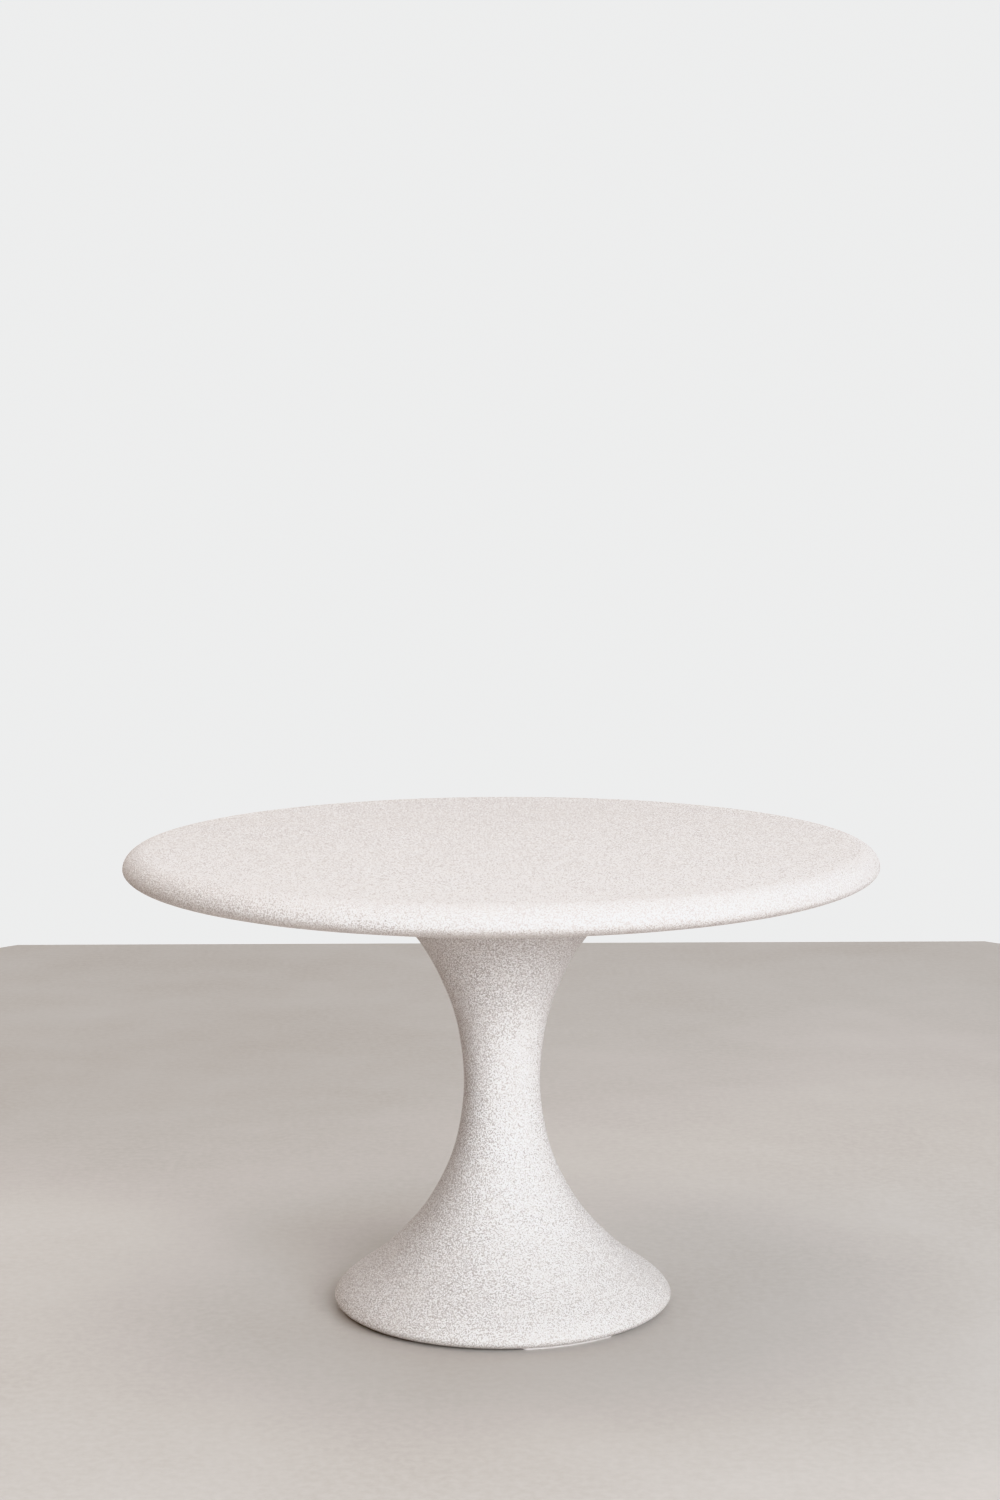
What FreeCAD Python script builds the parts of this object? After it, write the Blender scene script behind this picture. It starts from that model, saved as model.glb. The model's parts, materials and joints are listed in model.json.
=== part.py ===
import FreeCAD, Part
import math
import os

from FreeCAD import Vector

# A round pedestal table, cast in glass-fibre reinforced concrete.
#
# Millimetres, +Z up. The origin is on the floor under the middle of the table and the front
# is towards -Y. Azimuths are in degrees, from the front towards +X.
#
# The hollow top and the hollow hourglass pedestal are two thin castings. A steel spider is
# bolted up inside the top. One long rod runs from the spider down through the pedestal to a
# steel ballast plate under the foot, and clamps the two castings together. The foot stands
# on three curved pads, each on a levelling screw.

# Overall sizes
TABLE_HEIGHT = 750.0
TOP_RADIUS = 600.0
FOOT_RADIUS = 272.5
FLOOR_GAP = 3.0

# Tabletop casting: its edge is widest at RIM_UPPER_DROP below the top
RIM_UPPER_RUN = 38.0
RIM_UPPER_DROP = 28.0
RIM_LOWER_RUN = 80.0
RIM_LOWER_DROP = 26.0
SKIN = 10.0
LIP_THICKNESS = 10.0
LIP_RADIUS = 486.0
BOSS_RADIUS = 18.0

# Panel that closes the underside of the top
PANEL_THICKNESS = 8.0
PANEL_RADIUS = 501.5
PANEL_OPENING_RADIUS = 224.0
REBATE_RADIUS = 502.0

# Steel spider inside the top
HUB_RADIUS = 250.0
HUB_THICKNESS = 6.0
ARM_COUNT = 6
ARM_WIDTH = 30.0
ARM_HEIGHT = 18.0
ARM_WALL = 3.0
ARM_BEND_RADIUS = 4.0
ARM_START = 70.0
ARM_END = 470.0
ARM_BOLT_RADII = (280.0, 450.0)

# Pedestal casting: height and radius of the stations of its hourglass
PEDESTAL_STATIONS = (
    (17.0, FOOT_RADIUS),
    (40.0, 253.5),
    (70.0, 212.0),
    (105.0, 172.5),
    (145.0, 136.0),
    (190.0, 106.5),
    (240.0, 83.0),
    (300.0, 67.5),
    (360.0, 61.3),
    (420.0, 65.0),
    (480.0, 77.0),
    (540.0, 100.5),
    (600.0, 135.5),
    (650.0, 178.5),
    (697.0, 220.5),
)
FOOT_START_TANGENT = (-0.35, 1.0)
WALL = 12.0
FOOT_EDGE_RUN = 24.0
HEAD_FLANGE_THICKNESS = 18.0
HEAD_BORE_RADIUS = 165.0
GASKET_THICKNESS = 2.0
GASKET_MARGIN = 2.5
RECESS_RADIUS = 192.0
LEDGE_HEIGHT = 45.0
LEDGE_THICKNESS = 20.0
LEDGE_BORE_RADIUS = 150.0

# Ballast plate under the ledge of the foot
PLATE_RADIUS = 188.0
PLATE_THICKNESS = 12.0
PLATE_BOLT_COUNT = 6
PLATE_BOLT_RADIUS = 170.0
PLATE_BOLT_AZIMUTH = 30.0

# Tie rod, M16, with a nut and a thin lock nut
ROD_RADIUS = 8.0
ROD_HOLE_RADIUS = 9.0
ROD_BOTTOM = 5.0
ROD_FLATS = 24.0
ROD_WASHER_RADIUS = 17.0
ROD_WASHER_THICKNESS = 3.0
ROD_NUT_HEIGHT = 13.0
LOCK_NUT_HEIGHT = 8.0
SOCKET_NUT_HEIGHT = 24.0
ROD_SOCKET_ENGAGEMENT = 22.0

# Dowels that stop the top turning on the pedestal
DOWEL_COUNT = 3
DOWEL_RADIUS = 5.0
DOWEL_CLEARANCE = 0.3
DOWEL_PITCH_RADIUS = 192.0
DOWEL_AZIMUTH = 30.0
DOWEL_DEPTH = 15.0
DOWEL_SOCKET_DEPTH = 16.0

# Countersunk screws that hold the panel, M5
SCREW_RADIUS = 2.4
SCREW_HOLE_RADIUS = 2.5
SCREW_HEAD_RADIUS = 4.8
SCREW_HEAD_DEPTH = 2.7
RIM_SCREW_COUNT = 12
RIM_SCREW_PITCH_RADIUS = 494.0
RIM_SCREW_AZIMUTH = 15.0
RIM_SCREW_LENGTH = 16.0
HUB_SCREW_COUNT = 6
HUB_SCREW_PITCH_RADIUS = 239.0
HUB_SCREW_AZIMUTH = 30.0
HUB_SCREW_LENGTH = 13.0

# Bolts of the spider, M8, and of the ballast plate, M10
ARM_BOLT = {"radius": 4.0, "flats": 13.0, "head": 5.3, "washer_radius": 8.0, "washer": 1.6}
PLATE_BOLT = {"radius": 5.0, "flats": 17.0, "head": 6.4, "washer_radius": 10.0, "washer": 2.0}
ARM_BOLT_REACH = 13.0
PLATE_BOLT_REACH = 13.0
BOLT_HOLE_CLEARANCE = 0.5
ARM_INSERT_RADIUS = 6.0
ARM_INSERT_LENGTH = 14.0
PLATE_INSERT_RADIUS = 7.5
PLATE_INSERT_LENGTH = 16.0
INSERT_END_WALL = 1.5

# Three levelling feet: a curved pad in a pocket of the casting, on an M12 screw
PAD_COUNT = 3
PAD_FIRST_AZIMUTH = 24.5
PAD_INNER_RADIUS = 204.0
PAD_OUTER_RADIUS = 256.0
PAD_HALF_ANGLE = 18.0
PAD_CORNER_RADIUS = 8.0
PAD_FLOOR_CHAMFER = 1.0
POCKET_TOP = 15.0
POCKET_CLEARANCE = 0.5
PAD_TOP_CLEARANCE = 0.1
PAD_TRAVEL = 8.0
LEVEL_SCREW_PITCH_RADIUS = 230.0
LEVEL_SCREW_RADIUS = 5.95
LEVEL_SCREW_LEAST_GRIP = 11.0
COLLAR_RADIUS = 10.0
COLLAR_BOTTOM = 5.2
COLLAR_THICKNESS = 4.0
COLLAR_PLAY = 0.2
KEY_FLATS = 6.0
KEY_DEPTH = 6.0
KEY_HOLE_RADIUS = 4.5
CHAMBER_FLOOR = 5.0
CHAMBER_RADIUS = 10.4
RING_OUTER_RADIUS = 11.2
RING_INNER_RADIUS = 8.2
RING_THICKNESS = 1.5
RING_GAP = 5.0
BUSH_RADIUS = 10.0
BUSH_BORE_RADIUS = 6.0
BUSH_FLANGE_RADIUS = 14.0
BUSH_FLANGE_THICKNESS = 2.5
BUSH_TOP = 38.0
BUSH_END_WALL = 2.0

# Levels that follow from the sizes above
RIM_HEIGHT = TABLE_HEIGHT - RIM_UPPER_DROP
UNDERSIDE = RIM_HEIGHT - RIM_LOWER_DROP
SKIN_UNDERSIDE = TABLE_HEIGHT - SKIN
PANEL_TOP = UNDERSIDE + PANEL_THICKNESS
HUB_TOP = PANEL_TOP + HUB_THICKNESS
ARM_TOP = HUB_TOP + ARM_HEIGHT
HEAD_TOP = PANEL_TOP - GASKET_THICKNESS
HEAD_RADIUS = PEDESTAL_STATIONS[-1][1]
CAVITY_BOTTOM = LEDGE_HEIGHT + LEDGE_THICKNESS
CAVITY_TOP = HEAD_TOP - HEAD_FLANGE_THICKNESS
PLATE_TOP = LEDGE_HEIGHT - GASKET_THICKNESS
PLATE_BOTTOM = PLATE_TOP - PLATE_THICKNESS
ROD_NUT_TOP = PLATE_BOTTOM - ROD_WASHER_THICKNESS
LOCK_NUT_TOP = ROD_NUT_TOP - ROD_NUT_HEIGHT
RING_BOTTOM = COLLAR_BOTTOM + COLLAR_THICKNESS + COLLAR_PLAY
LEVEL_SCREW_TOP = POCKET_TOP + PAD_TRAVEL + LEVEL_SCREW_LEAST_GRIP

ORIGIN = Vector(0, 0, 0)
UP = Vector(0, 0, 1)


# Shapes that the pieces are made from


def cylinder(radius, bottom, top):
    return Part.makeCylinder(radius, top - bottom, Vector(0, 0, bottom))


def ring(outer_radius, inner_radius, bottom, top):
    return cylinder(outer_radius, bottom, top).cut(cylinder(inner_radius, bottom, top))


def hexagon(across_flats, bottom, top):
    corner_radius = across_flats / math.sqrt(3)
    corners = []
    for step in range(7):
        angle = math.radians(60 * step)
        corners.append(Vector(corner_radius * math.cos(angle), corner_radius * math.sin(angle), bottom))
    return Part.Face(Part.makePolygon(corners)).extrude(Vector(0, 0, top - bottom))


def at(shape, pitch_radius, azimuth):
    """A copy of a shape made on the Z axis, moved out to a radius at an azimuth."""
    moved = shape.copy()
    moved.translate(Vector(0, -pitch_radius, 0))
    moved.rotate(ORIGIN, UP, azimuth)
    return moved


def around(shape, pitch_radius, count, first_azimuth):
    return [at(shape, pitch_radius, first_azimuth + 360.0 / count * step) for step in range(count)]


def lines(*points):
    """Straight edges through (radius, height) points of a turned section."""
    corners = [Vector(radius, 0, height) for radius, height in points]
    return [Part.LineSegment(a, b).toShape() for a, b in zip(corners, corners[1:])]


def quarter_ellipse(centre_radius, centre_height, run, rise):
    """From run outside the centre to rise above it, or below it where rise is negative."""
    centre = Vector(centre_radius, 0, centre_height)
    outer = Vector(centre_radius + run, 0, centre_height)
    end = Vector(centre_radius, 0, centre_height + rise)
    return Part.Ellipse(outer, end, centre).toShape(0, math.pi / 2)


def turned(edges):
    """The solid that a closed section in the XZ plane makes when it turns about Z."""
    section = Part.Face(Part.Wire(Part.sortEdges(edges)[0]))
    return section.revolve(ORIGIN, UP, 360)


def smooth_curve(points):
    curve = Part.BSplineCurve()
    curve.interpolate(points)
    return curve


def smooth_curve_leaving(points, start_tangent):
    """A smooth curve through the points that leaves the first one along start_tangent."""
    curve = Part.BSplineCurve()
    flags = [index == 0 for index in range(len(points))]
    curve.interpolate(Points=points, Tangents=[start_tangent] * len(points), TangentFlags=flags)
    return curve


def drilled(shape, tools):
    return shape.cut(Part.makeCompound(tools))


def group(solids):
    return Part.makeCompound(solids)


# Fasteners, made on the Z axis and driven upwards


def bolt_and_washer(size, seat, reach):
    """A hex bolt whose washer sits under the seat, with reach mm of thread above it."""
    washer_bottom = seat - size["washer"]
    head = hexagon(size["flats"], washer_bottom - size["head"], washer_bottom)
    shank = cylinder(size["radius"], washer_bottom, seat + reach)
    hole_radius = size["radius"] + BOLT_HOLE_CLEARANCE
    return head.fuse(shank), ring(size["washer_radius"], hole_radius, washer_bottom, seat)


def insert(outer_radius, bore_radius, bottom, length):
    """A threaded insert with a closed upper end, cast into the concrete."""
    body = cylinder(outer_radius, bottom, bottom + length)
    return body.cut(cylinder(bore_radius, bottom, bottom + length - INSERT_END_WALL))


def countersunk_screw(length):
    head = Part.makeCone(SCREW_HEAD_RADIUS, SCREW_RADIUS, SCREW_HEAD_DEPTH, Vector(0, 0, UNDERSIDE))
    shank = cylinder(SCREW_RADIUS, UNDERSIDE + SCREW_HEAD_DEPTH, UNDERSIDE + length)
    return head.fuse(shank)


def countersunk_hole(length):
    widening = SCREW_HOLE_RADIUS - SCREW_RADIUS
    cone = Part.makeCone(
        SCREW_HEAD_RADIUS + widening, SCREW_HOLE_RADIUS, SCREW_HEAD_DEPTH, Vector(0, 0, UNDERSIDE)
    )
    return cone.fuse(cylinder(SCREW_HOLE_RADIUS, UNDERSIDE, UNDERSIDE + length + widening))


def rim_screws(shape):
    return around(shape, RIM_SCREW_PITCH_RADIUS, RIM_SCREW_COUNT, RIM_SCREW_AZIMUTH)


def hub_screws(shape):
    return around(shape, HUB_SCREW_PITCH_RADIUS, HUB_SCREW_COUNT, HUB_SCREW_AZIMUTH)


def arm_bolts(shape):
    inner, outer = ARM_BOLT_RADII
    return around(shape, inner, ARM_COUNT, 0) + around(shape, outer, ARM_COUNT, 0)


def plate_bolts(shape):
    return around(shape, PLATE_BOLT_RADIUS, PLATE_BOLT_COUNT, PLATE_BOLT_AZIMUTH)


def dowels(shape):
    return around(shape, DOWEL_PITCH_RADIUS, DOWEL_COUNT, DOWEL_AZIMUTH)


def level_screws(shape):
    return around(shape, LEVEL_SCREW_PITCH_RADIUS, PAD_COUNT, PAD_FIRST_AZIMUTH)


# The top


def tabletop_shell():
    """The cast top: a thin skin, a hollow rolled rim and an inner lip with a rebate."""
    upper_centre = TOP_RADIUS - RIM_UPPER_RUN
    lower_centre = TOP_RADIUS - RIM_LOWER_RUN
    lip_top = PANEL_TOP + LIP_THICKNESS
    edges = [
        quarter_ellipse(upper_centre, RIM_HEIGHT, RIM_UPPER_RUN, RIM_UPPER_DROP),
        quarter_ellipse(lower_centre, RIM_HEIGHT, RIM_LOWER_RUN, -RIM_LOWER_DROP),
        quarter_ellipse(lower_centre, RIM_HEIGHT, RIM_LOWER_RUN - SKIN, lip_top - RIM_HEIGHT),
        quarter_ellipse(upper_centre, RIM_HEIGHT, RIM_UPPER_RUN - SKIN, SKIN_UNDERSIDE - RIM_HEIGHT),
    ]
    edges += lines(
        (upper_centre, SKIN_UNDERSIDE), (0, SKIN_UNDERSIDE), (0, TABLE_HEIGHT), (upper_centre, TABLE_HEIGHT)
    )
    edges += lines(
        (lower_centre, UNDERSIDE),
        (REBATE_RADIUS, UNDERSIDE),
        (REBATE_RADIUS, PANEL_TOP),
        (LIP_RADIUS, PANEL_TOP),
        (LIP_RADIUS, lip_top),
        (lower_centre, lip_top),
    )
    bosses = arm_bolts(cylinder(BOSS_RADIUS, ARM_TOP, SKIN_UNDERSIDE))
    shell = turned(edges).fuse(bosses)
    insert_holes = arm_bolts(cylinder(ARM_INSERT_RADIUS, ARM_TOP, ARM_TOP + ARM_INSERT_LENGTH))
    screw_holes = rim_screws(cylinder(SCREW_HOLE_RADIUS, PANEL_TOP, UNDERSIDE + RIM_SCREW_LENGTH))
    return drilled(shell, insert_holes + screw_holes)


def underside_panel():
    """A fibre-cement disc in the rebate, open in the middle for the pedestal's head."""
    panel = ring(PANEL_RADIUS, PANEL_OPENING_RADIUS, UNDERSIDE, PANEL_TOP)
    hole = countersunk_hole(PANEL_THICKNESS)
    return drilled(panel, rim_screws(hole) + hub_screws(hole))


def hub_plate():
    plate = ring(HUB_RADIUS, ROD_HOLE_RADIUS, PANEL_TOP, HUB_TOP)
    dowel_holes = dowels(cylinder(DOWEL_RADIUS, PANEL_TOP, HUB_TOP))
    screw_holes = hub_screws(cylinder(SCREW_HOLE_RADIUS, PANEL_TOP, HUB_TOP))
    return drilled(plate, dowel_holes + screw_holes)


def spider_arms():
    """Six steel channels, open downwards, welded to the top of the hub plate."""
    length = ARM_END - ARM_START
    bar = Part.makeBox(ARM_WIDTH, length, ARM_HEIGHT, Vector(-ARM_WIDTH / 2, -ARM_END, HUB_TOP))
    bends = [e for e in bar.Edges if e.CenterOfMass.z > ARM_TOP - ARM_WALL and abs(e.tangentAt(0).y) > 0.5]
    bar = bar.makeFillet(ARM_BEND_RADIUS, bends)
    inside_width = ARM_WIDTH - 2 * ARM_WALL
    inside = Part.makeBox(
        inside_width, length, ARM_HEIGHT - ARM_WALL, Vector(-inside_width / 2, -ARM_END, HUB_TOP)
    )
    bolt_hole = cylinder(ARM_BOLT["radius"] + BOLT_HOLE_CLEARANCE, HUB_TOP, ARM_TOP)
    holes = [at(bolt_hole, radius, 0) for radius in ARM_BOLT_RADII]
    arm = drilled(bar.cut(inside), holes)
    return group(around(arm, 0, ARM_COUNT, 0))


def rod_socket_nut():
    """A tall hex nut, welded over the middle of the hub plate, that the rod screws into."""
    top = HUB_TOP + SOCKET_NUT_HEIGHT
    return hexagon(ROD_FLATS, HUB_TOP, top).cut(cylinder(ROD_RADIUS, HUB_TOP, top))


def locating_dowels():
    return group(dowels(cylinder(DOWEL_RADIUS, HEAD_TOP - DOWEL_DEPTH, HUB_TOP)))


def head_gasket():
    """A rubber ring between the pedestal's head and the hub plate."""
    outer_radius = HEAD_RADIUS - GASKET_MARGIN
    inner_radius = HEAD_BORE_RADIUS + GASKET_MARGIN
    gasket = ring(outer_radius, inner_radius, HEAD_TOP, PANEL_TOP)
    return drilled(gasket, dowels(cylinder(DOWEL_RADIUS + DOWEL_CLEARANCE, HEAD_TOP, PANEL_TOP)))


# The pedestal


def pedestal_curve():
    outwards, upwards = FOOT_START_TANGENT
    points = [Vector(radius, 0, height) for height, radius in PEDESTAL_STATIONS]
    return smooth_curve_leaving(points, Vector(outwards, 0, upwards))


def inner_pedestal_curve():
    """The same hourglass, one wall thickness further in at every station."""
    outer = pedestal_curve()
    points = []
    for height, radius in PEDESTAL_STATIONS:
        station = Vector(radius, 0, height)
        tangent = outer.tangent(outer.parameter(station))[0]
        inwards = Vector(-abs(tangent.z), 0, math.copysign(tangent.x, tangent.x * tangent.z))
        points.append(station + inwards * WALL)
    return smooth_curve(points)


def pedestal_body():
    """The pedestal's outside as one solid, with an edge that turns under the foot."""
    foot_centre = FOOT_RADIUS - FOOT_EDGE_RUN
    widest, head = PEDESTAL_STATIONS[0][0], PEDESTAL_STATIONS[-1][0]
    edges = [
        pedestal_curve().toShape(),
        quarter_ellipse(foot_centre, widest, FOOT_EDGE_RUN, FLOOR_GAP - widest),
    ]
    edges += lines(
        (HEAD_RADIUS, head), (HEAD_RADIUS, HEAD_TOP), (0, HEAD_TOP), (0, FLOOR_GAP), (foot_centre, FLOOR_GAP)
    )
    return turned(edges)


def pedestal_cavity():
    curve = inner_pedestal_curve()
    start, end = curve.StartPoint, curve.EndPoint
    edges = [curve.toShape()]
    edges += lines((end.x, end.z), (0, end.z), (0, start.z), (start.x, start.z))
    return turned(edges).common(cylinder(FOOT_RADIUS, CAVITY_BOTTOM, CAVITY_TOP))


def pedestal_shell():
    """The cast hourglass, with a flange turned in at its head and a solid toe and ledge."""
    head_bore = cylinder(HEAD_BORE_RADIUS, CAVITY_TOP, HEAD_TOP)
    ledge_bore = cylinder(LEDGE_BORE_RADIUS, LEDGE_HEIGHT, CAVITY_BOTTOM)
    recess = cylinder(RECESS_RADIUS, FLOOR_GAP, LEDGE_HEIGHT)
    shell = pedestal_body().cut(pedestal_cavity())
    for opening in (head_bore, ledge_bore, recess):
        shell = shell.cut(opening)
    socket = cylinder(DOWEL_RADIUS + DOWEL_CLEARANCE, HEAD_TOP - DOWEL_SOCKET_DEPTH, HEAD_TOP)
    insert_hole = cylinder(PLATE_INSERT_RADIUS, LEDGE_HEIGHT, LEDGE_HEIGHT + PLATE_INSERT_LENGTH)
    pocket = foot_block(POCKET_CLEARANCE, 0, POCKET_TOP)
    tools = dowels(socket) + plate_bolts(insert_hole)
    tools += around(pocket, 0, PAD_COUNT, PAD_FIRST_AZIMUTH) + level_screws(bush_body())
    return drilled(shell, tools)


def foot_gasket():
    gasket = ring(PLATE_RADIUS, LEDGE_BORE_RADIUS + GASKET_MARGIN, PLATE_TOP, LEDGE_HEIGHT)
    hole = cylinder(PLATE_BOLT["radius"] + BOLT_HOLE_CLEARANCE, PLATE_TOP, LEDGE_HEIGHT)
    return drilled(gasket, plate_bolts(hole))


def ballast_plate():
    plate = ring(PLATE_RADIUS, ROD_HOLE_RADIUS, PLATE_BOTTOM, PLATE_TOP)
    hole = cylinder(PLATE_BOLT["radius"] + BOLT_HOLE_CLEARANCE, PLATE_BOTTOM, PLATE_TOP)
    return drilled(plate, plate_bolts(hole))


def tie_rod():
    return cylinder(ROD_RADIUS, ROD_BOTTOM, HUB_TOP + ROD_SOCKET_ENGAGEMENT)


def tie_washer():
    return ring(ROD_WASHER_RADIUS, ROD_HOLE_RADIUS, ROD_NUT_TOP, PLATE_BOTTOM)


def rod_nut(top, height):
    return hexagon(ROD_FLATS, top - height, top).cut(cylinder(ROD_RADIUS, top - height, top))


# The levelling feet, each made at the front and then turned to its azimuth


def foot_block(clearance, bottom, top):
    """A curved block with rounded corners, widened by clearance all round."""
    middle_radius = (PAD_INNER_RADIUS + PAD_OUTER_RADIUS) / 2
    half_angle = PAD_HALF_ANGLE + math.degrees(clearance / middle_radius)
    inner_radius = PAD_INNER_RADIUS - clearance
    outer_radius = PAD_OUTER_RADIUS + clearance
    section = Part.makePolygon(
        [
            Vector(inner_radius, 0, bottom),
            Vector(outer_radius, 0, bottom),
            Vector(outer_radius, 0, top),
            Vector(inner_radius, 0, top),
            Vector(inner_radius, 0, bottom),
        ]
    )
    block = Part.Face(section).revolve(ORIGIN, UP, 2 * half_angle)
    block.rotate(ORIGIN, UP, -90 - half_angle)
    corners = [edge for edge in block.Edges if abs(edge.tangentAt(edge.FirstParameter).z) > 0.5]
    return block.makeFillet(PAD_CORNER_RADIUS + clearance, corners)


def foot_pad(azimuth):
    """A moulded pad with a stepped hole for its screw and a groove for the ring."""
    block = foot_block(0, 0, POCKET_TOP - PAD_TOP_CLEARANCE)
    floor_edges = [edge for edge in block.Edges if edge.BoundBox.ZMax < PAD_FLOOR_CHAMFER]
    block = block.makeChamfer(PAD_FLOOR_CHAMFER, floor_edges)
    hole = cylinder(KEY_HOLE_RADIUS, 0, CHAMBER_FLOOR)
    hole = hole.fuse(cylinder(CHAMBER_RADIUS, CHAMBER_FLOOR, POCKET_TOP))
    hole = hole.fuse(cylinder(RING_OUTER_RADIUS, RING_BOTTOM, RING_BOTTOM + RING_THICKNESS))
    return at(block.cut(at(hole, LEVEL_SCREW_PITCH_RADIUS, 0)), 0, azimuth)


def retaining_ring(azimuth):
    """An open spring ring that keeps the screw's collar in the pad."""
    body = ring(RING_OUTER_RADIUS, RING_INNER_RADIUS, RING_BOTTOM, RING_BOTTOM + RING_THICKNESS)
    gap = Part.makeBox(
        RING_GAP, RING_OUTER_RADIUS, RING_THICKNESS, Vector(-RING_GAP / 2, 0, RING_BOTTOM)
    )
    return at(body.cut(gap), LEVEL_SCREW_PITCH_RADIUS, azimuth)


def levelling_screw(azimuth):
    """An M12 screw with a collar at its foot and a hex socket for a key from below."""
    collar_top = COLLAR_BOTTOM + COLLAR_THICKNESS
    screw = cylinder(COLLAR_RADIUS, COLLAR_BOTTOM, collar_top)
    screw = screw.fuse(cylinder(LEVEL_SCREW_RADIUS, collar_top, LEVEL_SCREW_TOP))
    screw = screw.cut(hexagon(KEY_FLATS, COLLAR_BOTTOM, COLLAR_BOTTOM + KEY_DEPTH))
    return at(screw, LEVEL_SCREW_PITCH_RADIUS, azimuth)


def bush_body():
    flange = cylinder(BUSH_FLANGE_RADIUS, POCKET_TOP, POCKET_TOP + BUSH_FLANGE_THICKNESS)
    return flange.fuse(cylinder(BUSH_RADIUS, POCKET_TOP, BUSH_TOP))


def levelling_bushes():
    """Threaded bushes cast into the toe, closed at the top."""
    bore = cylinder(BUSH_BORE_RADIUS, POCKET_TOP, BUSH_TOP - BUSH_END_WALL)
    return group(level_screws(bush_body().cut(bore)))


def build_parts():
    arm_bolt, arm_washer = bolt_and_washer(ARM_BOLT, ARM_TOP - ARM_WALL, ARM_BOLT_REACH)
    plate_bolt, plate_washer = bolt_and_washer(
        PLATE_BOLT, PLATE_BOTTOM, PLATE_THICKNESS + GASKET_THICKNESS + PLATE_BOLT_REACH
    )
    arm_insert = insert(ARM_INSERT_RADIUS, ARM_BOLT["radius"], ARM_TOP, ARM_INSERT_LENGTH)
    plate_insert = insert(PLATE_INSERT_RADIUS, PLATE_BOLT["radius"], LEDGE_HEIGHT, PLATE_INSERT_LENGTH)
    parts = {
        "tabletop_shell": tabletop_shell(),
        "underside_panel": underside_panel(),
        "panel_rim_screws": group(rim_screws(countersunk_screw(RIM_SCREW_LENGTH))),
        "panel_hub_screws": group(hub_screws(countersunk_screw(HUB_SCREW_LENGTH))),
        "hub_plate": hub_plate(),
        "spider_arms": spider_arms(),
        "arm_inserts": group(arm_bolts(arm_insert)),
        "arm_bolts": group(arm_bolts(arm_bolt)),
        "arm_washers": group(arm_bolts(arm_washer)),
        "rod_socket_nut": rod_socket_nut(),
        "locating_dowels": locating_dowels(),
        "head_gasket": head_gasket(),
        "pedestal_shell": pedestal_shell(),
        "tie_rod": tie_rod(),
        "tie_washer": tie_washer(),
        "tie_nut": rod_nut(ROD_NUT_TOP, ROD_NUT_HEIGHT),
        "tie_lock_nut": rod_nut(LOCK_NUT_TOP, LOCK_NUT_HEIGHT),
        "ballast_plate": ballast_plate(),
        "foot_gasket": foot_gasket(),
        "plate_inserts": group(plate_bolts(plate_insert)),
        "plate_bolts": group(plate_bolts(plate_bolt)),
        "plate_washers": group(plate_bolts(plate_washer)),
        "levelling_bushes": levelling_bushes(),
    }
    for step in range(PAD_COUNT):
        azimuth = PAD_FIRST_AZIMUTH + 360.0 / PAD_COUNT * step
        number = step + 1
        parts[f"foot_pad_{number}"] = foot_pad(azimuth)
        parts[f"retaining_ring_{number}"] = retaining_ring(azimuth)
        parts[f"levelling_screw_{number}"] = levelling_screw(azimuth)
    return parts


os.makedirs("parts", exist_ok=True)
for node, shape in build_parts().items():
    shape.exportStep(f"parts/{node}.step")
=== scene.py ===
import json
import math

import bpy
from mathutils import Matrix, Vector, noise


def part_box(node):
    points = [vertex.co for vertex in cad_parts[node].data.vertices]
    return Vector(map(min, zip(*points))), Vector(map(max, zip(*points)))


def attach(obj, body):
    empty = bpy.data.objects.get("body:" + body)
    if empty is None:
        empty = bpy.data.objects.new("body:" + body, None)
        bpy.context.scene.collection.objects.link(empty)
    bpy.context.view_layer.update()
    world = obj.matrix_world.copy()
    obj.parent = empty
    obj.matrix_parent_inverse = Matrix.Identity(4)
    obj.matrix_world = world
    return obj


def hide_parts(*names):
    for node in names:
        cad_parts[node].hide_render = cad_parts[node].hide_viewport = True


# The looks of the round pedestal table. Everything is in metres, in the frame of the CAD model:
# +Z up, origin on the floor under the middle of the table, front towards -Y.

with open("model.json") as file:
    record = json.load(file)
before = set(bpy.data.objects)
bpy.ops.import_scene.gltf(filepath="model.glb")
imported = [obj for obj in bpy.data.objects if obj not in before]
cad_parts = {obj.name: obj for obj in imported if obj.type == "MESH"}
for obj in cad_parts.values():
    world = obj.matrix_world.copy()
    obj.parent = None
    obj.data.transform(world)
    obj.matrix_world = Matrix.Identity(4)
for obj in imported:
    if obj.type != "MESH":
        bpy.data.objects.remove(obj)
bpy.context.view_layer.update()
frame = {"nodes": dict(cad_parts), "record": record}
record = frame["record"]
nodes = frame["nodes"]
MM = 0.001

# Sizes of the two castings that a box alone doesn't give
RIM_UPPER_RUN = 38 * MM
RIM_UPPER_DROP = 28 * MM
RIM_LOWER_RUN = 80 * MM
SKIN = 10 * MM
LIP_THICKNESS = 10 * MM
LIP_RADIUS = 486 * MM
REBATE_RADIUS = 502 * MM
PEDESTAL_STATIONS = (
    (17 * MM, 272.5 * MM),
    (40 * MM, 253.5 * MM),
    (70 * MM, 212.0 * MM),
    (105 * MM, 172.5 * MM),
    (145 * MM, 136.0 * MM),
    (190 * MM, 106.5 * MM),
    (240 * MM, 83.0 * MM),
    (300 * MM, 67.5 * MM),
    (360 * MM, 61.3 * MM),
    (420 * MM, 65.0 * MM),
    (480 * MM, 77.0 * MM),
    (540 * MM, 100.5 * MM),
    (600 * MM, 135.5 * MM),
    (650 * MM, 178.5 * MM),
    (697 * MM, 220.5 * MM),
)
FOOT_START_SLOPE = -0.35
FOOT_EDGE_RUN = 24 * MM
WALL = 12 * MM
HEAD_BORE_RADIUS = 165 * MM
HEAD_FLANGE_THICKNESS = 18 * MM
LEDGE_BORE_RADIUS = 150 * MM
LEDGE_THICKNESS = 20 * MM
RECESS_RADIUS = 192 * MM
POCKET_TOP = 15 * MM
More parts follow.
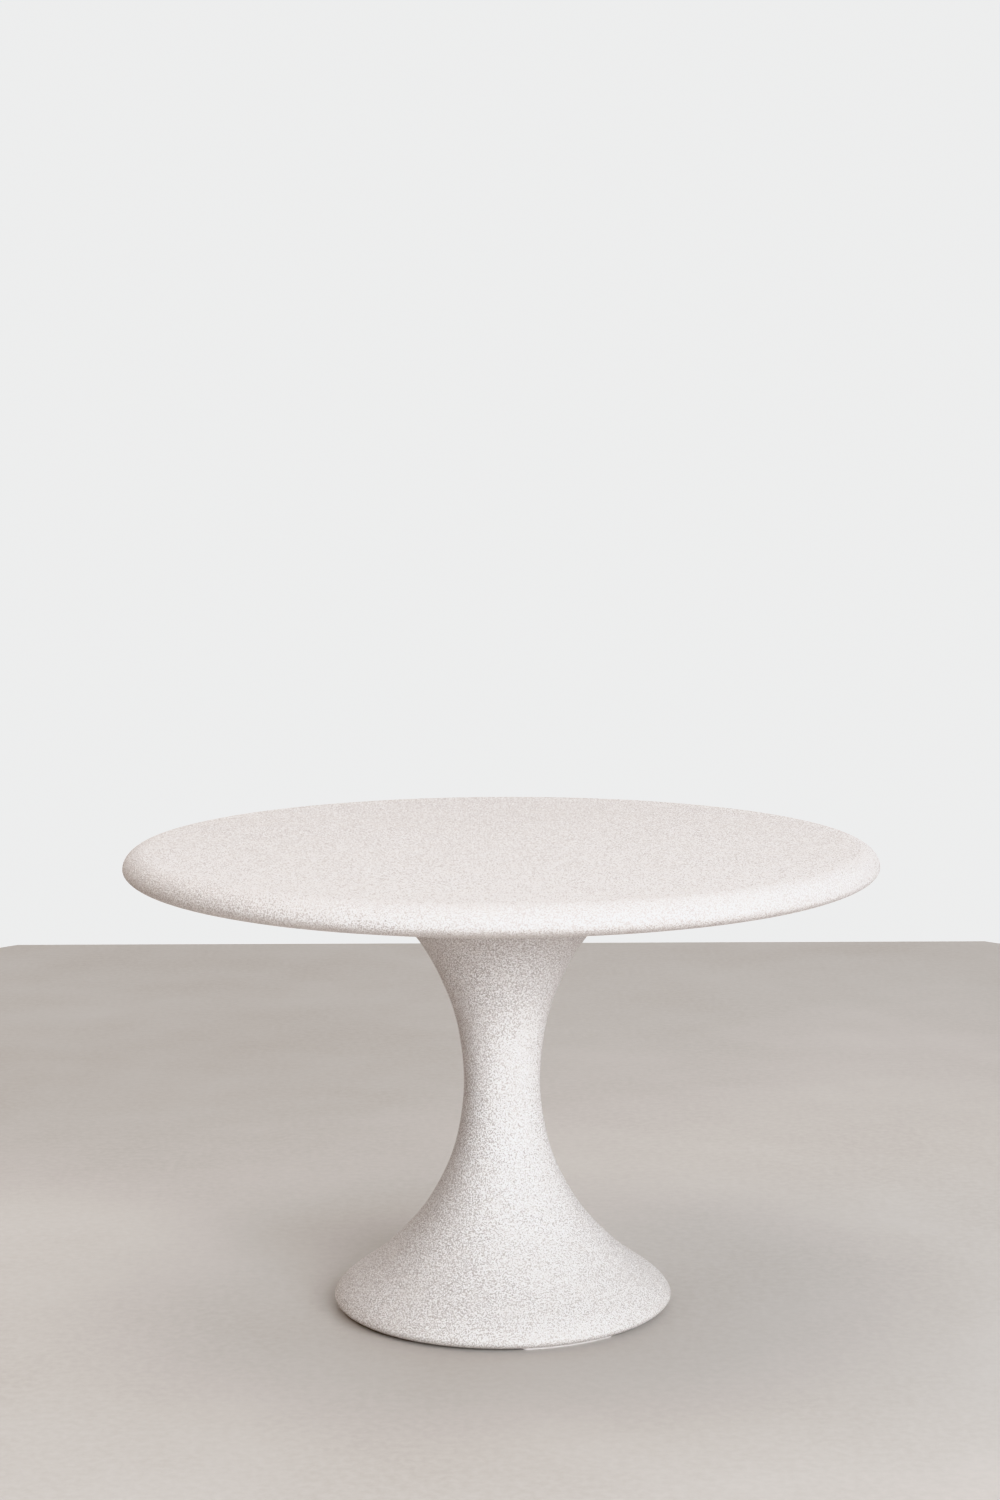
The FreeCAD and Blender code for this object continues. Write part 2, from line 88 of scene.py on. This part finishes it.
POCKET_INNER_RADIUS = 203.5 * MM
POCKET_OUTER_RADIUS = 256.5 * MM
POCKET_HALF_ANGLE = math.radians(18.12)
POCKET_CORNER = 8 * MM

# How finely the castings are divided: rings across flat faces, steps along arcs
TURN_SEGMENTS = 384
TOP_FACE_RINGS = 30
TOP_INNER_RINGS = 12
FOOT_FACE_RINGS = 6
NARROW_FACE_RINGS = 3
RIM_UPPER_STEPS = 24
RIM_LOWER_STEPS = 28
RIM_INNER_STEPS = 12
TOE_STEPS = 14
STEPS_PER_STATION = 10
CORNER_STEPS = 6
SHARP_ANGLE = math.radians(40)
ON_AXIS = 1e-9

# Hand finishing: how deep the unevenness is, how wide its swells are, and its finer part
TOP_UNEVENNESS = 0.12 * MM
TOP_SWELL_SIZE = 110 * MM
PEDESTAL_UNEVENNESS = 0.15 * MM
PEDESTAL_SWELL_SIZE = 90 * MM
FINE_SWELL_SHARE = 0.35
FINE_SWELL_RATIO = 2.7


# Mesh helpers


def finish_mesh(name, vertices, faces):
    """A smooth-shaded object with sharp edges where its faces meet steeply."""
    mesh = bpy.data.meshes.new(name)
    mesh.from_pydata(vertices, [], faces)
    mesh.validate()
    mesh.shade_smooth()
    mesh.set_sharp_from_angle(angle=SHARP_ANGLE)
    piece = bpy.data.objects.new(name, mesh)
    bpy.context.scene.collection.objects.link(piece)
    return piece


def turned_piece(name, profile, closed):
    """Turns (radius, height) points about Z. A point on the axis becomes one shared vertex."""
    vertices = []
    rings = []
    for radius, height in profile:
        if radius < ON_AXIS:
            rings.append([len(vertices)] * TURN_SEGMENTS)
            vertices.append((0, 0, height))
            continue
        rings.append(list(range(len(vertices), len(vertices) + TURN_SEGMENTS)))
        for step in range(TURN_SEGMENTS):
            angle = 2 * math.pi * step / TURN_SEGMENTS
            vertices.append((radius * math.cos(angle), radius * math.sin(angle), height))
    pairs = list(zip(rings, rings[1:]))
    if closed:
        pairs.append((rings[-1], rings[0]))
    faces = []
    for lower, upper in pairs:
        for step in range(TURN_SEGMENTS):
            after = (step + 1) % TURN_SEGMENTS
            corners = [lower[step], lower[after], upper[after], upper[step]]
            faces.append(tuple(dict.fromkeys(corners)))
    return finish_mesh(name, vertices, faces)


def spaced(start, end, count):
    """count points from start towards end, without the end itself."""
    points = []
    for step in range(count):
        share = step / count
        radius = start[0] + (end[0] - start[0]) * share
        height = start[1] + (end[1] - start[1]) * share
        points.append((radius, height))
    return points


def ellipse_arc(centre, run, rise, first, last, count):
    """Points of a quarter ellipse between two angles in degrees, without the last point."""
    points = []
    for step in range(count):
        angle = math.radians(first + (last - first) * step / count)
        points.append((centre[0] + run * math.cos(angle), centre[1] + rise * math.sin(angle)))
    return points


def spline_second_derivatives(heights, radii, start_slope):
    """Natural cubic spline through the stations, with a given slope at the first one."""
    count = len(heights)
    upper = [0.0] * count
    right = [0.0] * count
    step = heights[1] - heights[0]
    upper[0] = 0.5
    right[0] = 3 / step * ((radii[1] - radii[0]) / step - start_slope)
    for i in range(1, count - 1):
        before = heights[i] - heights[i - 1]
        after = heights[i + 1] - heights[i]
        total = heights[i + 1] - heights[i - 1]
        pivot = 2 * total - before * upper[i - 1]
        upper[i] = after / pivot
        jump = (radii[i + 1] - radii[i]) / after - (radii[i] - radii[i - 1]) / before
        right[i] = (6 * jump - before * right[i - 1]) / pivot
    second = [0.0] * count
    for i in range(count - 2, -1, -1):
        second[i] = right[i] - upper[i] * second[i + 1]
    return second


def pedestal_outline():
    """Points up the hourglass, from the widest ring of the foot to the head."""
    heights = [height for height, _ in PEDESTAL_STATIONS]
    radii = [radius for _, radius in PEDESTAL_STATIONS]
    second = spline_second_derivatives(heights, radii, FOOT_START_SLOPE)
    points = []
    for i in range(len(heights) - 1):
        span = heights[i + 1] - heights[i]
        for step in range(STEPS_PER_STATION):
            b = step / STEPS_PER_STATION
            a = 1 - b
            bend = ((a**3 - a) * second[i] + (b**3 - b) * second[i + 1]) * span * span / 6
            points.append((a * radii[i] + b * radii[i + 1] + bend, heights[i] + b * span))
    points.append((radii[-1], heights[-1]))
    return points


def inset(points, depth):
    """The same line moved depth metres towards the inside of the wall."""
    moved = []
    for i, (radius, height) in enumerate(points):
        before = points[max(i - 1, 0)]
        after = points[min(i + 1, len(points) - 1)]
        along = Vector((after[0] - before[0], after[1] - before[1])).normalized()
        moved.append((radius - along.y * depth, height + along.x * depth))
    return moved


def sector_block(name, inner, outer, half_angle, corner, bottom, top, azimuth):
    """A curved block with rounded corners, centred on an azimuth from the front."""
    middle = (inner + outer) / 2
    half_length = middle * half_angle
    outline = []
    corners = ((1, 1, 0), (-1, 1, 90), (-1, -1, 180), (1, -1, 270))
    for side, out, first in corners:
        for step in range(CORNER_STEPS + 1):
            turn = math.radians(first + 90 / CORNER_STEPS * step)
            along = side * (half_length - corner) + corner * math.cos(turn)
            radius = middle + out * ((outer - inner) / 2 - corner) + corner * math.sin(turn)
            angle = azimuth + along / middle
            outline.append((radius * math.sin(angle), -radius * math.cos(angle)))
    count = len(outline)
    vertices = [(x, y, bottom) for x, y in outline] + [(x, y, top) for x, y in outline]
    faces = [tuple(range(count))[::-1], tuple(range(count, 2 * count))]
    for i in range(count):
        j = (i + 1) % count
        faces.append((i, j, count + j, count + i))
    return finish_mesh(name, vertices, faces)


def settle_normals(piece):
    """Turns every face of a closed piece outwards."""
    bpy.ops.object.select_all(action="DESELECT")
    bpy.context.view_layer.objects.active = piece
    piece.select_set(True)
    bpy.ops.object.mode_set(mode="EDIT")
    bpy.ops.mesh.select_all(action="SELECT")
    bpy.ops.mesh.normals_make_consistent(inside=False)
    bpy.ops.object.mode_set(mode="OBJECT")


def carve(piece, cutters):
    """Cuts closed cutter meshes out of a piece, and removes the cutters."""
    for cutter in cutters:
        settle_normals(cutter)
        modifier = piece.modifiers.new("carve", "BOOLEAN")
        modifier.operation = "DIFFERENCE"
        modifier.solver = "EXACT"
        modifier.object = cutter
        bpy.context.view_layer.objects.active = piece
        bpy.ops.object.modifier_apply(modifier=modifier.name)
        bpy.data.objects.remove(cutter)
    piece.data.set_sharp_from_angle(angle=SHARP_ANGLE)


def hand_finish(piece, depth, size, bottom):
    """Gives the cast skin the slight unevenness of hand finishing, above a given height."""
    mesh = piece.data
    normals = [vertex.normal.copy() for vertex in mesh.vertices]
    for vertex, normal in zip(mesh.vertices, normals):
        place = vertex.co
        if place.z < bottom:
            continue
        fine_swell = noise.noise(place / size * FINE_SWELL_RATIO)
        swell = noise.noise(place / size) + FINE_SWELL_SHARE * fine_swell
        vertex.co = place + normal * swell * depth


# Material helpers

# Blender's Mix node has sockets of one name for each kind of value; these are its colour ones
MIX_COLOUR_A = 6
MIX_COLOUR_B = 7
MIX_COLOUR_RESULT = 2

class Shader:
    """A material with one Principled shader, built up from noise in object space."""

    def __init__(self, name):
        self.material = bpy.data.materials.new(name)
        self.material.use_nodes = True
        self.tree = self.material.node_tree
        self.tree.nodes.clear()
        output = self.tree.nodes.new("ShaderNodeOutputMaterial")
        self.surface = self.tree.nodes.new("ShaderNodeBsdfPrincipled")
        self.tree.links.new(self.surface.outputs["BSDF"], output.inputs["Surface"])
        self.place = self.tree.nodes.new("ShaderNodeTexCoord").outputs["Object"]

    def link(self, value, socket):
        """Feeds a socket from another node's output, or sets it to a plain value."""
        if isinstance(value, bpy.types.NodeSocket):
            self.tree.links.new(value, socket)
        else:
            socket.default_value = value

    def noise(self, scale, detail=2.0, roughness=0.5, place=None):
        """Soft noise from 0 to 1, with scale waves to a metre."""
        node = self.tree.nodes.new("ShaderNodeTexNoise")
        node.inputs["Scale"].default_value = scale
        node.inputs["Detail"].default_value = detail
        node.inputs["Roughness"].default_value = roughness
        self.tree.links.new(place or self.place, node.inputs["Vector"])
        return node.outputs["Fac"]

    def cells(self, scale):
        """Distance to the nearest of scattered points, and a random value for each of them."""
        node = self.tree.nodes.new("ShaderNodeTexVoronoi")
        node.inputs["Scale"].default_value = scale
        self.tree.links.new(self.place, node.inputs["Vector"])
        return node.outputs["Distance"], node.outputs["Color"]

    def shifted(self, offset, scale=(1, 1, 1)):
        """The place in object space, moved and stretched, so that two noises don't agree."""
        node = self.tree.nodes.new("ShaderNodeMapping")
        node.inputs["Location"].default_value = offset
        node.inputs["Scale"].default_value = scale
        self.tree.links.new(self.place, node.inputs["Vector"])
        return node.outputs["Vector"]

    def height(self):
        """Height above the floor in metres."""
        node = self.tree.nodes.new("ShaderNodeSeparateXYZ")
        self.tree.links.new(self.place, node.inputs["Vector"])
        return node.outputs["Z"]

    def between(self, value, low, high, to_low=0.0, to_high=1.0):
        """Maps low to high onto to_low to to_high, and holds the ends beyond them."""
        node = self.tree.nodes.new("ShaderNodeMapRange")
        self.link(value, node.inputs["Value"])
        node.inputs["From Min"].default_value = low
        node.inputs["From Max"].default_value = high
        node.inputs["To Min"].default_value = to_low
        node.inputs["To Max"].default_value = to_high
        return node.outputs["Result"]

    def maths(self, operation, first, second):
        node = self.tree.nodes.new("ShaderNodeMath")
        node.operation = operation
        self.link(first, node.inputs[0])
        self.link(second, node.inputs[1])
        return node.outputs["Value"]

    def mix(self, factor, first, second):
        """The first colour, going over to the second as the factor rises from 0 to 1."""
        node = self.tree.nodes.new("ShaderNodeMix")
        node.data_type = "RGBA"
        self.link(factor, node.inputs["Factor"])
        self.link(first, node.inputs[MIX_COLOUR_A])
        self.link(second, node.inputs[MIX_COLOUR_B])
        return node.outputs[MIX_COLOUR_RESULT]

    def bump(self, height, strength, distance):
        node = self.tree.nodes.new("ShaderNodeBump")
        node.inputs["Strength"].default_value = strength
        node.inputs["Distance"].default_value = distance
        self.tree.links.new(height, node.inputs["Height"])
        self.tree.links.new(node.outputs["Normal"], self.surface.inputs["Normal"])

    def set(self, **values):
        """Sets or links the shader's sockets, named with _ for each space."""
        for name, value in values.items():
            self.link(value, self.surface.inputs[name.replace("_", " ")])


def rgb(red, green, blue):
    """A colour socket value from an sRGB colour in 0 to 255."""
    linear = []
    for channel in (red, green, blue):
        share = channel / 255
        linear.append(share / 12.92 if share <= 0.04045 else ((share + 0.055) / 1.055) ** 2.4)
    return (*linear, 1.0)


SAND_SCALE = 500.0
SAND_EDGE = 0.045
LIGHT_SAND = rgb(254, 250, 249)
SPECK_SCALE = 260.0
DUST_TOP = 35 * MM
DUST_FULL = 6 * MM
SAND_BUMP_STRENGTH = 0.7


def cast_concrete(name, dark_sand, relief_depth):
    """Warm off-white concrete with light and dark sand, faint clouding and small pores.

    The sand stands out more on the pedestal than on the honed top.
    """
    shader = Shader(name)
    sand = shader.noise(SAND_SCALE, 2.0, 0.6, shader.shifted((0.2, 0.5, 0.0012)))
    sand_share = shader.between(sand, 0.5 - SAND_EDGE, 0.5 + SAND_EDGE)
    colour = shader.mix(sand_share, dark_sand, LIGHT_SAND)
    clouds = shader.between(shader.noise(5.0, 3.0), 0.35, 0.65, 0.0, 0.2)
    colour = shader.mix(clouds, colour, rgb(226, 218, 213))
    patchy = shader.noise(32.0, 4.0, 0.6, shader.shifted((3, 1, 7)))
    patches = shader.between(patchy, 0.40, 0.68, 0.0, 0.15)
    colour = shader.mix(patches, colour, rgb(244, 235, 229))
    distance, chance = shader.cells(SPECK_SCALE)
    near = shader.between(distance, 0.34, 0.16)
    chosen = shader.between(chance, 0.84, 0.90)
    speck = shader.maths("MULTIPLY", near, chosen)
    colour = shader.mix(speck, colour, rgb(150, 137, 127))
    near_floor_darkening = shader.between(shader.height(), DUST_TOP, DUST_FULL, 0.0, 0.35)
    colour = shader.mix(near_floor_darkening, colour, rgb(196, 187, 178))
    rough = shader.between(shader.noise(60.0, 3.0), 0.3, 0.7, 0.52, 0.68)
    relief = shader.maths("ADD", sand, shader.between(speck, 0.0, 1.0, 0.0, -0.3))
    shader.bump(relief, SAND_BUMP_STRENGTH, relief_depth)
    shader.set(Base_Color=colour, Roughness=rough, Specular_IOR_Level=0.4)
    return shader.material


def fibre_cement():
    """Grey board with a sanded face and pale and dark fibre flecks."""
    shader = Shader("fibre_cement")
    clouds = shader.between(shader.noise(7.0, 4.0), 0.35, 0.65)
    colour = shader.mix(clouds, rgb(168, 164, 158), rgb(184, 180, 174))
    fibres = shader.noise(150.0, 2.0, 0.6, shader.shifted((2, 2, 2), (1, 6, 1)))
    flecks = shader.between(fibres, 0.58, 0.72)
    colour = shader.mix(flecks, colour, rgb(205, 202, 196))
    dark = shader.between(shader.noise(260.0, 2.0, 0.6), 0.44, 0.32)
    colour = shader.mix(dark, colour, rgb(128, 123, 117))
    rough = shader.between(shader.noise(40.0, 2.0), 0.3, 0.7, 0.75, 0.9)
    shader.bump(shader.noise(300.0, 3.0, 0.6), 0.3, 0.3 * MM)
    shader.set(Base_Color=colour, Roughness=rough, Specular_IOR_Level=0.3)
    return shader.material


def black_steel():
    """Powder-coated steel: fine orange peel, with thin rubbed spots."""
    shader = Shader("black_steel")
    clouds = shader.between(shader.noise(9.0, 3.0), 0.3, 0.7)
    colour = shader.mix(clouds, rgb(44, 44, 46), rgb(56, 56, 58))
    rubbed = shader.between(shader.noise(70.0, 5.0, 0.7), 0.66, 0.74)
    colour = shader.mix(rubbed, colour, rgb(112, 110, 108))
    rough = shader.between(shader.noise(45.0, 3.0), 0.3, 0.7, 0.38, 0.52)
    shader.bump(shader.noise(700.0, 1.0), 0.25, 0.15 * MM)
    shader.set(Base_Color=colour, Roughness=rough)
    return shader.material


def zinc_steel():
    """Zinc-plated steel with faint blue and straw clouding and fine scratches."""
    shader = Shader("zinc_steel")
    clouds = shader.between(shader.noise(60.0, 3.0), 0.35, 0.65)
    colour = shader.mix(clouds, rgb(176, 180, 184), rgb(192, 190, 182))
    spots = shader.between(shader.noise(420.0, 3.0, 0.7), 0.60, 0.72)
    colour = shader.mix(spots, colour, rgb(140, 138, 134))
    scratches = shader.noise(300.0, 2.0, 0.5, shader.shifted((1, 5, 3), (1, 1, 8)))
    rough = shader.between(scratches, 0.3, 0.7, 0.28, 0.45)
    shader.bump(scratches, 0.15, 0.05 * MM)
    shader.set(Base_Color=colour, Roughness=rough, Metallic=1.0)
    return shader.material


def insert_brass():
    """Turned brass, slightly tarnished."""
    shader = Shader("insert_brass")
    clouds = shader.between(shader.noise(80.0, 3.0), 0.35, 0.65)
    colour = shader.mix(clouds, rgb(198, 164, 98), rgb(176, 140, 80))
    rings = shader.noise(500.0, 2.0, 0.5, shader.shifted((4, 4, 4), (0.1, 0.1, 4)))
    rough = shader.between(rings, 0.3, 0.7, 0.28, 0.42)
    shader.bump(rings, 0.2, 0.05 * MM)
    shader.set(Base_Color=colour, Roughness=rough, Metallic=1.0)
    return shader.material


def gasket_rubber():
    """Dull black rubber with a dusty bloom."""
    shader = Shader("gasket_rubber")
    bloom = shader.between(shader.noise(45.0, 4.0, 0.6), 0.40, 0.70)
    colour = shader.mix(bloom, rgb(38, 38, 38), rgb(66, 64, 62))
    rough = shader.between(bloom, 0.0, 1.0, 0.72, 0.9)
    shader.bump(shader.noise(500.0, 2.0), 0.3, 0.1 * MM)
    shader.set(Base_Color=colour, Roughness=rough)
    return shader.material


def pad_nylon():
    """Off-white moulded nylon, scuffed, and darker towards the floor."""
    shader = Shader("pad_nylon")
    clouds = shader.between(shader.noise(30.0, 3.0), 0.35, 0.65)
    colour = shader.mix(clouds, rgb(222, 214, 210), rgb(232, 225, 222))
    scratches = shader.noise(240.0, 4.0, 0.7, shader.shifted((6, 1, 2), (1, 1, 5)))
    scuffs = shader.between(scratches, 0.58, 0.74)
    colour = shader.mix(scuffs, colour, rgb(176, 170, 164))
    # Darker towards the floor over the lowest 3 mm of the pad, up to half way to a dark grey.
    near_floor_darkening = shader.between(shader.height(), 0.003, 0.0, 0.0, 0.5)
    colour = shader.mix(near_floor_darkening, colour, rgb(160, 153, 146))
    rough = shader.between(scuffs, 0.0, 1.0, 0.5, 0.75)
    shader.bump(shader.noise(650.0, 2.0), 0.25, 0.08 * MM)
    shader.set(Base_Color=colour, Roughness=rough)
    return shader.material


def studio_floor():
    """Pale warm grey screed with faint trowel clouding."""
    shader = Shader("studio_floor")
    clouds = shader.between(shader.noise(1.6, 4.0, 0.6), 0.3, 0.7)
    colour = shader.mix(clouds, rgb(193, 185, 179), rgb(204, 197, 192))
    mottling = shader.between(shader.noise(70.0, 3.0, 0.6), 0.35, 0.65, 0.0, 0.5)
    colour = shader.mix(mottling, colour, rgb(209, 202, 197))
    rough = shader.between(shader.noise(6.0, 3.0), 0.3, 0.7, 0.55, 0.65)
    shader.set(Base_Color=colour, Roughness=rough, Specular_IOR_Level=0.5)
    return shader.material


# The two castings


def make_tabletop():
    """The cast top: skin, rolled hollow rim, and a lip with a rebate for the panel."""
    low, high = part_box("tabletop_shell")
    panel_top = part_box("underside_panel")[1].z
    radius = high.x
    top, underside = high.z, low.z
    widest = top - RIM_UPPER_DROP
    skin_underside = top - SKIN
    lip_top = panel_top + LIP_THICKNESS
    upper = (radius - RIM_UPPER_RUN, widest)
    lower = (radius - RIM_LOWER_RUN, widest)
    inner_drop = widest - lip_top
    inner_rise = skin_underside - widest
    profile = spaced((0, top), (upper[0], top), TOP_FACE_RINGS)
    profile += ellipse_arc(upper, RIM_UPPER_RUN, RIM_UPPER_DROP, 90, 0, RIM_UPPER_STEPS)
    profile += ellipse_arc(lower, RIM_LOWER_RUN, widest - underside, 0, -90, RIM_LOWER_STEPS)
    profile += spaced((lower[0], underside), (REBATE_RADIUS, underside), NARROW_FACE_RINGS)
    profile += [(REBATE_RADIUS, underside), (REBATE_RADIUS, panel_top), (LIP_RADIUS, panel_top)]
    profile += spaced((LIP_RADIUS, lip_top), (lower[0], lip_top), NARROW_FACE_RINGS)
    profile += ellipse_arc(lower, RIM_LOWER_RUN - SKIN, inner_drop, -90, 0, RIM_INNER_STEPS)
    profile += ellipse_arc(upper, RIM_UPPER_RUN - SKIN, inner_rise, 0, 90, RIM_INNER_STEPS)
    profile += spaced((upper[0], skin_underside), (0, skin_underside), TOP_INNER_RINGS)
    profile += [(0, skin_underside)]
    piece = turned_piece("tabletop", profile, closed=False)
    settle_normals(piece)
    return piece


def make_pedestal():
    """The cast hourglass, hollow, with its head flange, toe and ledge; its three pad pockets are
    cut afterwards by cut_pockets.
    """
    low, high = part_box("pedestal_shell")
    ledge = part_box("foot_gasket")[1].z
    head_top = high.z
    floor_gap = low.z
    widest_height, foot_radius = PEDESTAL_STATIONS[0]
    outer = pedestal_outline()
    cavity_bottom = ledge + LEDGE_THICKNESS
    cavity_top = head_top - HEAD_FLANGE_THICKNESS
    inner = [point for point in inset(outer, WALL) if cavity_bottom < point[1] < cavity_top]
    toe = (foot_radius - FOOT_EDGE_RUN, widest_height)
    profile = spaced((RECESS_RADIUS, floor_gap), (toe[0], floor_gap), FOOT_FACE_RINGS)
    profile += ellipse_arc(toe, FOOT_EDGE_RUN, widest_height - floor_gap, -90, 0, TOE_STEPS)
    profile += outer
    profile += spaced((outer[-1][0], head_top), (HEAD_BORE_RADIUS, head_top), NARROW_FACE_RINGS)
    profile += [(HEAD_BORE_RADIUS, head_top), (HEAD_BORE_RADIUS, cavity_top)]
    profile += [(inner[-1][0], cavity_top)]
    profile += inner[::-1]
    profile += [(inner[0][0], cavity_bottom), (LEDGE_BORE_RADIUS, cavity_bottom)]
    profile += [(LEDGE_BORE_RADIUS, ledge), (RECESS_RADIUS, ledge)]
    piece = turned_piece("pedestal", profile, closed=True)
    settle_normals(piece)
    return piece


def foot_azimuths():
    """Azimuth of each levelling foot from the front, from the joints of their screws."""
    hinges = [joint for joint in record["behaviour"]["joints"] if joint["type"] == "hinge"]
    return [math.atan2(joint["pos_m"][0], -joint["pos_m"][1]) for joint in hinges]


def cut_pockets(piece):
    """Cuts the curved pocket of each levelling pad into the underside of the foot."""
    pockets = []
    for azimuth in foot_azimuths():
        pockets.append(
            sector_block(
                "pocket",
                POCKET_INNER_RADIUS,
                POCKET_OUTER_RADIUS,
                POCKET_HALF_ANGLE,
                POCKET_CORNER,
                -POCKET_TOP,
                POCKET_TOP,
                azimuth,
            )
        )
    carve(piece, pockets)


# Build

MATERIALS = {
    "cast_concrete": cast_concrete("cast_concrete", rgb(184, 172, 168), 2.2 * MM),
    "fibre_cement": fibre_cement(),
    "black_steel": black_steel(),
    "zinc_steel": zinc_steel(),
    "insert_brass": insert_brass(),
    "gasket_rubber": gasket_rubber(),
    "pad_nylon": pad_nylon(),
}
HONED_CONCRETE = cast_concrete("honed_concrete", rgb(194, 182, 178), 1.4 * MM)


def dress(piece, material):
    """Gives a new piece its material."""
    piece.data.materials.clear()
    piece.data.materials.append(material)


def dress_cad_nodes():
    """Gives every carried-over CAD node the material of its slot in the record."""
    for subpart in record["subparts"]:
        for material_slot in nodes[subpart["node"]].material_slots:
            material_slot.material = MATERIALS[subpart["material_slot"]]


dress_cad_nodes()

tabletop = make_tabletop()
hand_finish(tabletop, TOP_UNEVENNESS, TOP_SWELL_SIZE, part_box("tabletop_shell")[0].z)
dress(tabletop, HONED_CONCRETE)
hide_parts("tabletop_shell")
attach(tabletop, "table")

pedestal = make_pedestal()
cut_pockets(pedestal)
hand_finish(pedestal, PEDESTAL_UNEVENNESS, PEDESTAL_SWELL_SIZE, PEDESTAL_STATIONS[0][0])
dress(pedestal, MATERIALS["cast_concrete"])
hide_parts("pedestal_shell")
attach(pedestal, "table")


# Stage: a pale floor that ends well behind the table, in front of a bright plain background

FLOOR_REACH = 3.18
FLOOR_SIDES = 8
WORLD_BRIGHT_SIDE = (0.0, 0.75, 0.66)
WORLD_BRIGHT_FROM = 0.35
WORLD_BRIGHT_FULL = 0.67
WORLD_DIM = (0.11, 0.065, 0.035, 1.0)
WORLD_BRIGHT = (0.965, 0.97, 0.97, 1.0)


def make_floor():
    """A many-sided floor with one side straight behind the table, and much alike from all round."""
    half_side = math.pi / FLOOR_SIDES
    corner_radius = FLOOR_REACH / math.cos(half_side)
    vertices = []
    for corner in range(FLOOR_SIDES):
        turn = (2 * corner + 1) * half_side
        vertices.append((corner_radius * math.cos(turn), corner_radius * math.sin(turn), 0))
    floor = finish_mesh("studio_floor", vertices, [tuple(range(FLOOR_SIDES))])
    floor.data.materials.append(studio_floor())


def make_world():
    """Light from above and behind, as off a pale wall, and hardly any from the front.

    Seen directly, the background is the same pale tone on every side.
    """
    world = bpy.data.worlds.new("studio")
    world.use_nodes = True
    bpy.context.scene.world = world
    tree = world.node_tree
    direction = tree.nodes.new("ShaderNodeTexCoord").outputs["Generated"]
    towards = tree.nodes.new("ShaderNodeVectorMath")
    towards.operation = "DOT_PRODUCT"
    towards.inputs[1].default_value = WORLD_BRIGHT_SIDE
    ramp = tree.nodes.new("ShaderNodeMapRange")
    ramp.interpolation_type = "SMOOTHSTEP"
    ramp.inputs["From Min"].default_value = WORLD_BRIGHT_FROM
    ramp.inputs["From Max"].default_value = WORLD_BRIGHT_FULL
    lighting = tree.nodes.new("ShaderNodeMix")
    lighting.data_type = "RGBA"
    lighting.inputs[MIX_COLOUR_A].default_value = WORLD_DIM
    lighting.inputs[MIX_COLOUR_B].default_value = WORLD_BRIGHT
    tree.links.new(direction, towards.inputs[0])
    tree.links.new(towards.outputs["Value"], ramp.inputs["Value"])
    tree.links.new(ramp.outputs["Result"], lighting.inputs["Factor"])
    backdrop = tree.nodes.new("ShaderNodeMix")
    backdrop.data_type = "RGBA"
    backdrop.inputs[MIX_COLOUR_B].default_value = WORLD_BRIGHT
    seen_directly = tree.nodes.new("ShaderNodeLightPath").outputs["Is Camera Ray"]
    tree.links.new(seen_directly, backdrop.inputs["Factor"])
    tree.links.new(lighting.outputs[MIX_COLOUR_RESULT], backdrop.inputs[MIX_COLOUR_A])
    background = tree.nodes["Background"]
    tree.links.new(backdrop.outputs[MIX_COLOUR_RESULT], background.inputs["Color"])


LIGHT_TARGET = Vector((0, 0, 0.45))


def area_light(name, azimuth, elevation, distance, size, irradiance, colour):
    """A soft panel aimed at the table's waist, at an azimuth in degrees from the front."""
    turn, rise = math.radians(azimuth), math.radians(elevation)
    level = math.cos(rise)
    direction = Vector((math.sin(turn) * level, -math.cos(turn) * level, math.sin(rise)))
    data = bpy.data.lights.new(name, "AREA")
    data.shape = "RECTANGLE"
    data.size, data.size_y = size
    data.energy = irradiance * math.pi * distance**2
    data.color = colour
    light = bpy.data.objects.new(name, data)
    bpy.context.scene.collection.objects.link(light)
    light.location = LIGHT_TARGET + direction * distance
    light.rotation_euler = (-direction).to_track_quat("-Z", "Y").to_euler()


def make_lights():
    area_light("key", 25, 18.5, 8.0, (7.6, 3.1), 4.5, (0.86, 0.945, 1.0))
    area_light("overhead", 0, 75, 5.0, (3.0, 3.0), 0.6, (0.95, 0.98, 1.0))
    area_light("left_fill", -85, 44, 6.0, (2.5, 2.5), 0.40, (1.0, 0.87, 0.74))


# Camera: a little above the top, tilted down, with a trace of roll

CAMERA_PLACE = Vector((-0.0013, -4.535, 1.429))
CAMERA_TILT = math.radians(6.65)
CAMERA_ROLL = math.radians(0.213)
CAMERA_LENS = 68.95
CAMERA_SENSOR = 36.0


def make_camera():
    data = bpy.data.cameras.new("camera")
    data.lens = CAMERA_LENS
    data.sensor_width = CAMERA_SENSOR
    camera = bpy.data.objects.new("camera", data)
    bpy.context.scene.collection.objects.link(camera)
    tilt = Matrix.Rotation(math.radians(90) - CAMERA_TILT, 4, "X")
    roll = Matrix.Rotation(-CAMERA_ROLL, 4, "Z")
    camera.matrix_world = Matrix.Translation(CAMERA_PLACE) @ tilt @ roll
    bpy.context.scene.camera = camera


make_floor()
make_world()
make_lights()
make_camera()
bpy.context.scene.view_settings.view_transform = "Khronos PBR Neutral"
